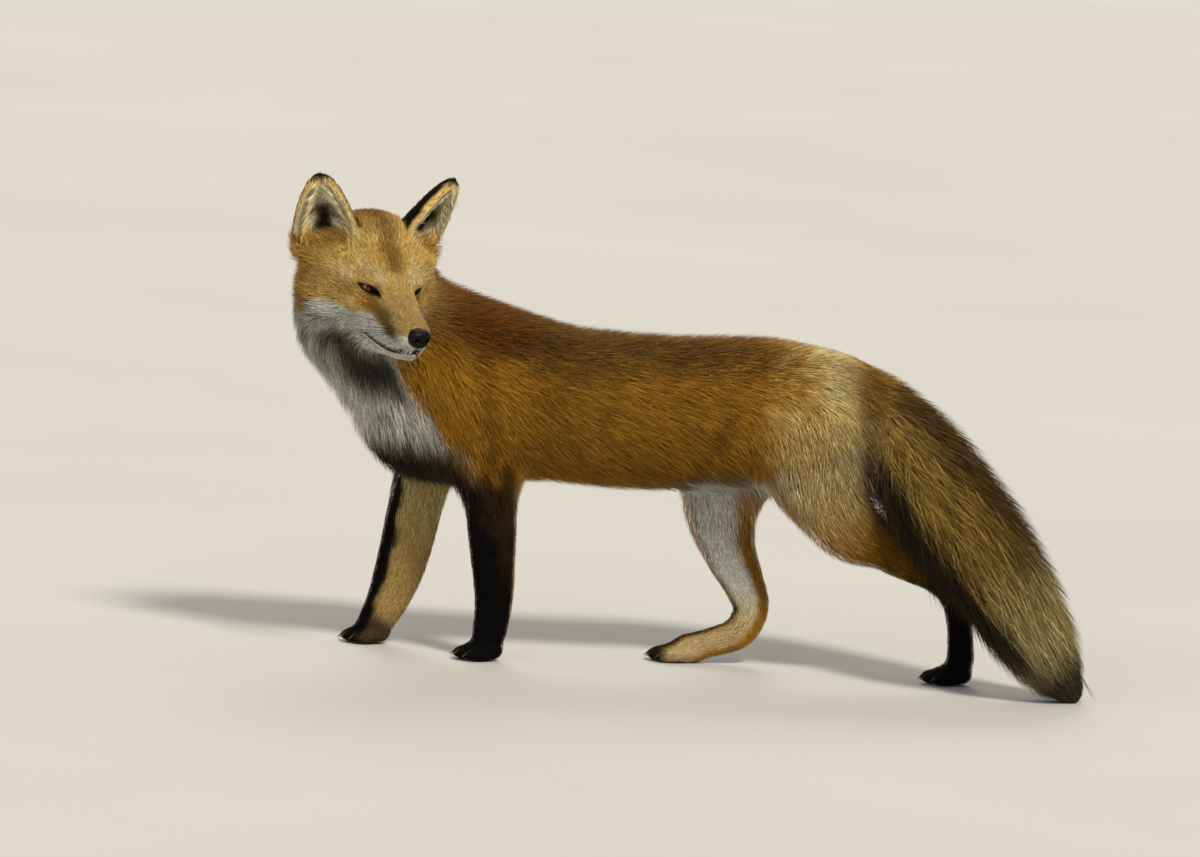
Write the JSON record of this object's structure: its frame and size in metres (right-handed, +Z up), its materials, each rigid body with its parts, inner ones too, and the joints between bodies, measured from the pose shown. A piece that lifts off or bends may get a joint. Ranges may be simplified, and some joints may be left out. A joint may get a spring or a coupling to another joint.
{
  "type": "red fox",
  "caption": "Life-size still red fox, standing mid-stride with its head turned back over its left side and its brush down to the ground.",
  "frame": {"origin": "middle of the bounding box's underside, on the ground that the paws stand on", "axes": "+X towards the tail, -X the way the fox walks, -Y its left side, +Z up"},
  "size_m": [0.8276, 0.2692, 0.4866],
  "materials": {
    "coat": "rust-red, golden, white and black fur",
    "eye": "wet amber iris with an upright slit pupil",
    "nose_leather": "moist black pebbled nose leather",
    "claw": "dark smooth horn"
  },
  "bodies": {
    "root": {"head": "coat", "neck": "coat", "trunk": "coat", "tail": "coat", "tail_tip": "coat", "ear_left": "coat", "ear_right": "coat", "fore_left_upper": "coat", "fore_left_lower": "coat", "fore_left_paw": "coat", "fore_left_claw_1": "claw", "fore_left_claw_2": "claw", "fore_left_claw_3": "claw", "fore_left_claw_4": "claw", "fore_right_upper": "coat", "fore_right_lower": "coat", "fore_right_paw": "coat", "fore_right_claw_1": "claw", "fore_right_claw_2": "claw", "fore_right_claw_3": "claw", "fore_right_claw_4": "claw", "hind_left_upper": "coat", "hind_left_lower": "coat", "hind_left_paw": "coat", "hind_left_claw_1": "claw", "hind_left_claw_2": "claw", "hind_left_claw_3": "claw", "hind_left_claw_4": "claw", "hind_right_upper": "coat", "hind_right_lower": "coat", "hind_right_paw": "coat", "hind_right_claw_1": "claw", "hind_right_claw_2": "claw", "hind_right_claw_3": "claw", "hind_right_claw_4": "claw", "eye_left": "eye", "eye_right": "eye", "nose": "nose_leather"}
  },
  "joints": []
}
